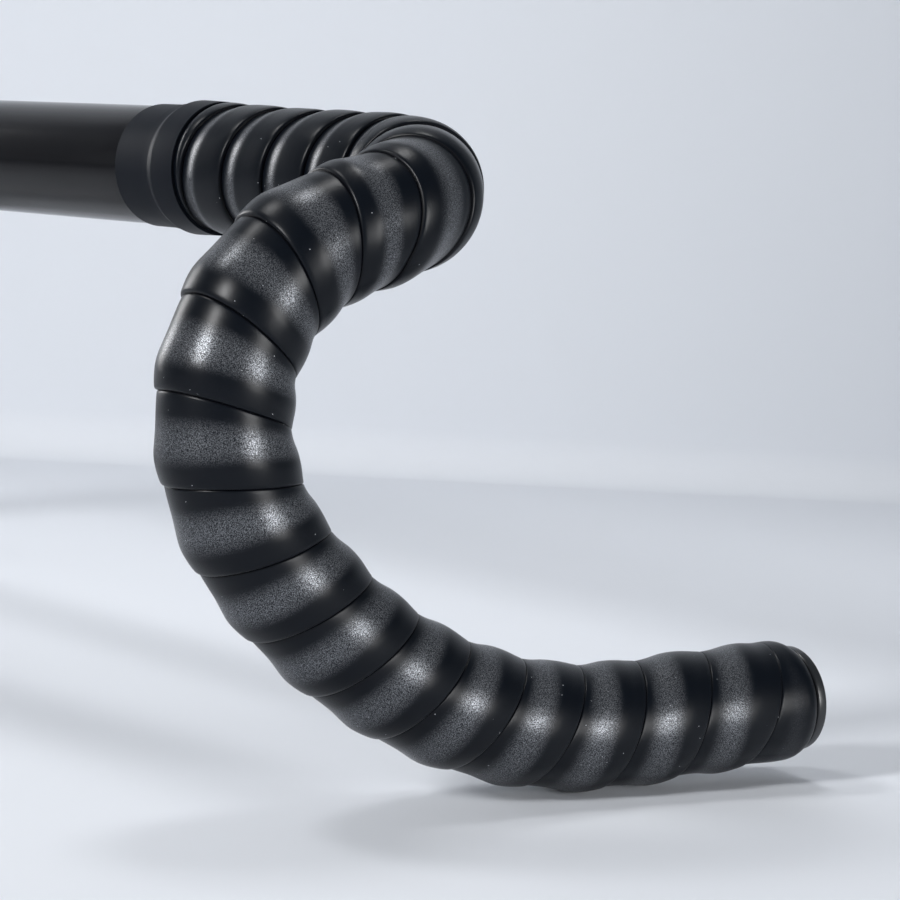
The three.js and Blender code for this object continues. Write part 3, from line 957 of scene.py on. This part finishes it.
class HANDLEBAR_OT_finishing_tape(bpy.types.Operator):
    """Wrap the finishing tape round the cut end of the bar tape on both halves"""

    bl_idname = "handlebar.finishing_tape"
    bl_label = "Finishing Tape"

    def execute(self, context):
        bar = context.scene.handlebar_bar
        tape = context.scene.handlebar_tape
        sizes = context.scene.handlebar_finishing
        spans = centreline_spans(bar)
        end = finishing_end(sizes)
        tape_start = end - sizes.overlap
        layer = sizes.layer
        bevel = 0.1 * MILLIMETRE
        slack = 0.06 * MILLIMETRE
        low = float(tube_radius(bar, sizes.start)) + slack
        lowest = float(tube_radius(bar, tape_start)) + slack
        start_high = float(taped_radius(bar, tape, tape_start)) - tape.pressed + slack
        end_high = float(taped_radius(bar, tape, end)) - tape.pressed + slack
        climb_start = tape_start - sizes.climb_lead
        climb_end = tape_start + sizes.climb_trail
        outline = [
            (low, sizes.start),
            (low + 2 * layer - bevel, sizes.start),
            (low + 2 * layer, sizes.start + bevel),
            (low + 2 * layer, sizes.second_wrap - bevel),
            (low + 3 * layer, sizes.second_wrap),
            (low + 3 * layer, climb_start),
        ]
        climb_steps = 12
        for step in range(1, climb_steps + 1):
            share = step / climb_steps
            rise = share * share * (3.0 - 2.0 * share)
            distance = climb_start + (climb_end - climb_start) * share
            outline.append((low + (start_high - low) * rise + 3 * layer, distance))
        outline.extend([
            (end_high + 3 * layer, end - bevel),
            (end_high + 3 * layer - bevel, end),
            (end_high, end),
            (start_high, tape_start - slack),
            (lowest, tape_start - 2 * slack),
        ])
        straight = ring_stack("left_finishing_wrap", outline, 96, closed=True)
        other = twin(straight, "right_finishing_wrap")
        material = vinyl_material(context.scene.handlebar_finishes)
        for side, piece in ((LEFT, straight), (RIGHT, other)):
            bend_onto_bar(piece, spans, side)
            shade(piece, 40)
            finish_piece(piece, material, "finishing_tape", f"{SIDE_NAMES[side]}_finishing_tape")
        return {"FINISHED"}


class HANDLEBAR_OT_end_plugs(bpy.types.Operator):
    """Turn the end caps and their screws, and finish the plugs' inner pieces"""

    bl_idname = "handlebar.end_plugs"
    bl_label = "End Plugs"

    def execute(self, context):
        bar = context.scene.handlebar_bar
        tape = context.scene.handlebar_tape
        plug = context.scene.handlebar_plug
        finishes = context.scene.handlebar_finishes
        spans = centreline_spans(bar)
        end = spans[-1]["end"]
        cap = turned_cap(bar, tape, plug, end)
        screw = turned_screw(tape, plug, end)
        cap_finish = moulded_material("End Cap", finishes.cap, 0.24, 0.36)
        steel = steel_material(finishes)
        for piece, material, slot_name, node in (
            (cap, cap_finish, "end_cap", "end_cap"),
            (screw, steel, "plug_hardware", "plug_screw"),
        ):
            other = twin(piece, piece.name.replace("left", "right"))
            for side, copy in ((LEFT, piece), (RIGHT, other)):
                bend_onto_bar(copy, spans, side)
                shade(copy, 35)
                finish_piece(copy, material, slot_name, f"{SIDE_NAMES[side]}_{node}")
        nylon = moulded_material("Moulded Nylon", finishes.nylon, 0.45, 0.6)
        for side_name in SIDE_NAMES.values():
            cover_node(f"{side_name}_plug_sleeve", nylon)
            cover_node(f"{side_name}_wedge_nut", steel)
        return {"FINISHED"}


def cover_node(node, material):
    """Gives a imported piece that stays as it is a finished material."""
    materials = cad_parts[node].data.materials
    materials.clear()
    materials.append(material)


def rounded(corner_radius, corner_height, radius_step, height_step, steps=4):
    """Points of a quarter round inside a corner, from its radial side to its axial side."""
    points = []
    for step in range(steps + 1):
        turn = step / steps * math.pi / 2.0
        points.append((
            corner_radius - radius_step * (1.0 - math.cos(turn)),
            corner_height - height_step * (1.0 - math.sin(turn)),
        ))
    return points


def turned_cap(bar, tape, plug, end):
    back = end + tape.fold_overhang + CLEARANCE
    front = back + plug.cap_thickness
    spigot_radius = bar.grip_radius - bar.wall - CLEARANCE - tape.tuck_thickness - 0.5 * MILLIMETRE
    spigot_end = back - plug.spigot_length
    head_hole = plug.head_radius + CLEARANCE
    screw_hole = plug.screw_radius + CLEARANCE
    seat = front + plug.cap_dome - plug.head_height - CLEARANCE
    rim = plug.cap_radius
    edge = plug.cap_round
    outline = list(reversed(rounded(rim, back, edge, -edge)))
    outline.extend(rounded(rim, front, edge, edge))
    dome_steps = 6
    for step in range(1, dome_steps + 1):
        radius = (rim - edge) + (head_hole - rim + edge) * step / dome_steps
        outline.append((radius, front + plug.cap_dome * (1.0 - (radius / (rim - edge)) ** 2)))
    outline.extend([
        (head_hole, seat),
        (screw_hole, seat),
        (screw_hole, spigot_end),
        (spigot_radius, spigot_end),
        (spigot_radius, back),
    ])
    return ring_stack("left_cap", outline, 96, closed=True)


def turned_screw(tape, plug, end):
    back = end + tape.fold_overhang + CLEARANCE
    head_bottom = back + plug.cap_thickness + plug.cap_dome - plug.head_height
    head_top = head_bottom + plug.head_height
    shank_end = shank_end_distance(plug, back)
    tiny = 0.01 * MILLIMETRE
    bevel = 0.3 * MILLIMETRE
    socket_radius = plug.socket / 2.0 / math.cos(math.pi / 6.0)
    outline = [
        (tiny, shank_end),
        (plug.screw_radius - bevel, shank_end),
        (plug.screw_radius, shank_end + bevel),
        (plug.screw_radius, head_bottom),
        (plug.head_radius, head_bottom),
        (plug.head_radius, head_top - bevel),
        (plug.head_radius - bevel, head_top),
        (tiny, head_top),
    ]
    screw = ring_stack("left_screw", outline, 48, closed=False)
    make_active(screw)
    bpy.ops.object.mode_set(mode="EDIT")
    bpy.ops.mesh.select_all(action="DESELECT")
    bpy.ops.mesh.select_non_manifold()
    bpy.ops.mesh.fill_holes(sides=0)
    bpy.ops.object.mode_set(mode="OBJECT")
    face_outwards(screw)
    clear_selection()
    bpy.ops.mesh.primitive_cylinder_add(
        vertices=6, radius=socket_radius, depth=plug.socket_depth * 2.0, location=(0.0, 0.0, head_top)
    )
    cutter = bpy.context.active_object
    cut = screw.modifiers.new("Socket", "BOOLEAN")
    cut.operation = "DIFFERENCE"
    cut.object = cutter
    apply_modifier(screw, cut)
    bpy.data.objects.remove(cutter, do_unlink=True)
    return screw


def shank_end_distance(plug, back):
    """Distance along the bar where the screw ends, just past the wedge nut."""
    sleeve_end = back - plug.spigot_length - CLEARANCE - (plug.sleeve_neck + plug.sleeve_grip)
    return sleeve_end - CLEARANCE - plug.screw_radius


# Stage

class StageSizes(bpy.types.PropertyGroup):
    camera_x: length("Camera X", "Camera's place to the rider's left", -647.2)
    camera_y: length("Camera Y", "Camera's place in front of the bar", 425.8)
    camera_z: length("Camera Z", "Camera's height", -5.5)
    camera_yaw: angle("Camera yaw", "Direction the camera looks in", -44.45)
    camera_pitch: angle("Camera pitch", "Camera's tilt down", -5.44)
    camera_roll: angle("Camera roll", "Camera's lean", 3.99)
    lens: FloatProperty(name="Lens", description="Focal length in millimetres", default=102.3)
    wall_reach: length("Wall reach", "Level distance from the camera to the wall", 1330.0)
    wall_turn: angle("Wall turn", "Wall's turn from square to the view", 10.0)
    wall_height: length("Wall height", "Height of the wall over the bend", 1800.0)
    wall_width: length("Wall width", "Width of the wall", 3600.0)
    bend: length("Bend", "Radius of the bend between floor and wall", 25.0)
    floor_size: length("Floor size", "Width and depth of the floor", 3000.0)


class HANDLEBAR_OT_stage(bpy.types.Operator):
    """Lay the pale floor and backdrop and set the lights and the camera"""

    bl_idname = "handlebar.stage"
    bl_label = "Stage"

    def execute(self, context):
        sizes = context.scene.handlebar_stage
        finishes = context.scene.handlebar_finishes
        lay_floor(finishes, sizes)
        set_world(context.scene)
        for light in LIGHTS:
            add_light(**light)
        set_camera(context.scene, sizes)
        context.scene.view_settings.view_transform = "Standard"
        return {"FINISHED"}


def lay_floor(finishes, sizes):
    """A wide floor, and a wall that curves up from it behind the bar."""
    material = sweep_material(finishes)
    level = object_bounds()[0][2]
    clear_selection()
    bpy.ops.mesh.primitive_plane_add(size=sizes.floor_size)
    floor = bpy.context.active_object
    floor.name = "pale_floor"
    floor.data.transform(Matrix.Translation((0.0, 0.0, level)))
    wall = curved_wall(sizes)
    turn = Matrix.Rotation(sizes.camera_yaw + sizes.wall_turn - math.pi / 2.0, 4, "Z")
    wall.data.transform(Matrix.Translation((sizes.camera_x, sizes.camera_y, level)) @ turn)
    shade(wall, 60)
    for piece in (floor, wall):
        piece.data.materials.clear()
        piece.data.materials.append(material)
        piece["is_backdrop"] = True


def curved_wall(sizes):
    """An edge extruded round the bend and up, as seen along Y from the camera's place."""
    clear_selection()
    bpy.ops.mesh.primitive_plane_add(size=sizes.wall_width)
    wall = bpy.context.active_object
    wall.name = "pale_wall"
    select_vertices(wall, lambda place: place.y < 0.0)
    bpy.ops.mesh.delete(type="VERT")
    bpy.ops.mesh.select_all(action="SELECT")
    foot = sizes.wall_reach - sizes.bend
    bpy.ops.transform.translate(value=(0.0, foot - sizes.wall_width / 2.0, 0.0))
    bpy.ops.mesh.select_mode(type="EDGE")
    steps = 12
    height = 0.0
    reach = 0.0
    for step in range(1, steps + 1):
        turn = step / steps * math.pi / 2.0
        next_reach = sizes.bend * math.sin(turn)
        next_height = sizes.bend * (1.0 - math.cos(turn))
        bpy.ops.mesh.extrude_region_move(
            TRANSFORM_OT_translate={"value": (0.0, next_reach - reach, next_height - height)}
        )
        reach, height = next_reach, next_height
    bpy.ops.mesh.extrude_region_move(TRANSFORM_OT_translate={"value": (0.0, 0.0, sizes.wall_height)})
    bpy.ops.mesh.select_all(action="SELECT")
    bpy.ops.mesh.normals_make_consistent(inside=False)
    bpy.ops.object.mode_set(mode="OBJECT")
    if wall.data.polygons[0].normal.z < 0.0:
        bpy.ops.object.mode_set(mode="EDIT")
        bpy.ops.mesh.flip_normals()
        bpy.ops.object.mode_set(mode="OBJECT")
    return wall


def sweep_material(finishes):
    """Pale paper that is clear from its back, so that the wall hides nothing from behind it."""
    material, nodes, links, shader, place = start_material("Pale Sweep", finishes.floor, 0.75)
    shader.inputs["Specular IOR Level"].default_value = 0.15
    clear = nodes.new("ShaderNodeBsdfTransparent")
    side = nodes.new("ShaderNodeNewGeometry")
    mix = nodes.new("ShaderNodeMixShader")
    links.new(side.outputs["Backfacing"], mix.inputs[0])
    links.new(shader.outputs["BSDF"], mix.inputs[1])
    links.new(clear.outputs["BSDF"], mix.inputs[2])
    links.new(mix.outputs["Shader"], nodes["Material Output"].inputs["Surface"])
    return material


SKY_COLOUR = (0.86, 0.93, 1.0, 1.0)
SKY_LEVEL = 0.09
HORIZON_LEVEL = 0.32
HORIZON_TOP = 0.10
SKY_BOTTOM = 0.34


def set_world(scene):
    """A dim sky over a paler horizon, which is the background from the other sides."""
    world = scene.world or bpy.data.worlds.new("World")
    scene.world = world
    world.use_nodes = True
    nodes, links = world.node_tree.nodes, world.node_tree.links
    background = nodes["Background"]
    background.inputs["Color"].default_value = SKY_COLOUR
    direction = nodes.new("ShaderNodeTexCoord")
    parts = nodes.new("ShaderNodeSeparateXYZ")
    fade = nodes.new("ShaderNodeMapRange")
    fade.interpolation_type = "SMOOTHSTEP"
    fade.inputs["From Min"].default_value = HORIZON_TOP
    fade.inputs["From Max"].default_value = SKY_BOTTOM
    fade.inputs["To Min"].default_value = HORIZON_LEVEL
    fade.inputs["To Max"].default_value = SKY_LEVEL
    links.new(direction.outputs["Generated"], parts.inputs["Vector"])
    links.new(parts.outputs["Z"], fade.inputs["Value"])
    links.new(fade.outputs["Result"], background.inputs["Strength"])


HOOK_MIDDLE = Vector((-0.23, 0.0, -0.07))
WALL_MIDDLE = Vector((0.16, -0.67, 0.05))
LIGHTS = [
    dict(name="Left Softbox", target=HOOK_MIDDLE, azimuth=90, elevation=26, distance=1.8,
         size=(0.26, 0.32), spread=90, power=6.4),
    dict(name="High Softbox", target=HOOK_MIDDLE, azimuth=38, elevation=56, distance=1.2,
         size=(0.17, 0.17), spread=180, power=3.0),
    dict(name="Right Softbox", target=HOOK_MIDDLE, azimuth=-172, elevation=7, distance=0.9,
         size=(0.39, 0.37), spread=70, power=1.15),
    dict(name="Back Strip", target=HOOK_MIDDLE, azimuth=8, elevation=13, distance=0.9,
         size=(0.2, 0.36), spread=90, power=0.5),
    dict(name="Top Softbox", target=HOOK_MIDDLE, azimuth=-38, elevation=74, distance=1.2,
         size=(0.22, 0.22), spread=180, power=3.0),
    dict(name="Wall Wash", target=WALL_MIDDLE, azimuth=150, elevation=28, distance=0.5,
         size=(1.2, 0.2), spread=180, power=0.75),
]


def add_light(name, target, azimuth, elevation, distance, size, spread, power):
    """An area light at a bearing from its target, facing it and out of every camera's sight."""
    bearing = math.radians(azimuth)
    rise = math.radians(elevation)
    away = Vector((
        math.cos(rise) * math.cos(bearing), math.cos(rise) * math.sin(bearing), math.sin(rise)
    ))
    clear_selection()
    bpy.ops.object.light_add(type="AREA", location=target + away * distance)
    lamp = bpy.context.active_object
    lamp.name = name
    lamp.rotation_euler = away.to_track_quat("Z", "Y").to_euler()
    lamp.visible_camera = False
    lamp.data.shape = "RECTANGLE"
    lamp.data.size, lamp.data.size_y = size
    lamp.data.spread = math.radians(spread)
    lamp.data.energy = power


def set_camera(scene, sizes):
    """The camera that the photograph's outlines give, leaning a little."""
    yaw, pitch, roll = sizes.camera_yaw, sizes.camera_pitch, sizes.camera_roll
    forward = Vector((math.cos(pitch) * math.cos(yaw), math.cos(pitch) * math.sin(yaw), math.sin(pitch)))
    level_right = forward.cross(Vector((0.0, 0.0, 1.0))).normalized()
    level_up = level_right.cross(forward)
    right = level_right * math.cos(roll) + level_up * math.sin(roll)
    upward = level_up * math.cos(roll) - level_right * math.sin(roll)
    data = bpy.data.cameras.new("Camera")
    camera = bpy.data.objects.new("Camera", data)
    scene.collection.objects.link(camera)
    facing = Matrix((right, upward, -forward)).transposed().to_4x4()
    camera.matrix_world = Matrix.Translation((sizes.camera_x, sizes.camera_y, sizes.camera_z)) @ facing
    data.sensor_width = 36.0
    data.lens = sizes.lens
    data.clip_start = 0.01
    data.clip_end = 100.0
    scene.camera = camera


OPERATORS = [
    HANDLEBAR_OT_bare_tube,
    HANDLEBAR_OT_bar_tape,
    HANDLEBAR_OT_finishing_tape,
    HANDLEBAR_OT_end_plugs,
    HANDLEBAR_OT_stage,
]


class HANDLEBAR_PT_panel(bpy.types.Panel):
    """Lists the steps that build the handlebar"""

    bl_idname = "HANDLEBAR_PT_panel"
    bl_label = "Taped Drop Handlebar"
    bl_space_type = "VIEW_3D"
    bl_region_type = "UI"
    bl_category = "Handlebar"

    def draw(self, context):
        for operator in OPERATORS:
            self.layout.operator(operator.bl_idname)


PROPERTY_GROUPS = {
    "handlebar_bar": BarSizes,
    "handlebar_tape": TapeSizes,
    "handlebar_finishing": FinishingSizes,
    "handlebar_plug": PlugSizes,
    "handlebar_finishes": Finishes,
    "handlebar_stage": StageSizes,
}


def register():
    for name, group in PROPERTY_GROUPS.items():
        bpy.utils.register_class(group)
        setattr(bpy.types.Scene, name, PointerProperty(type=group))
    for operator in OPERATORS:
        bpy.utils.register_class(operator)
    bpy.utils.register_class(HANDLEBAR_PT_panel)


def unregister():
    bpy.utils.unregister_class(HANDLEBAR_PT_panel)
    for operator in reversed(OPERATORS):
        bpy.utils.unregister_class(operator)
    for name, group in reversed(PROPERTY_GROUPS.items()):
        delattr(bpy.types.Scene, name)
        bpy.utils.unregister_class(group)


def main():
    register()
    bpy.ops.handlebar.bare_tube()
    bpy.ops.handlebar.bar_tape()
    bpy.ops.handlebar.finishing_tape()
    bpy.ops.handlebar.end_plugs()
    bpy.ops.handlebar.stage()


if __name__ == "__main__":
    main()
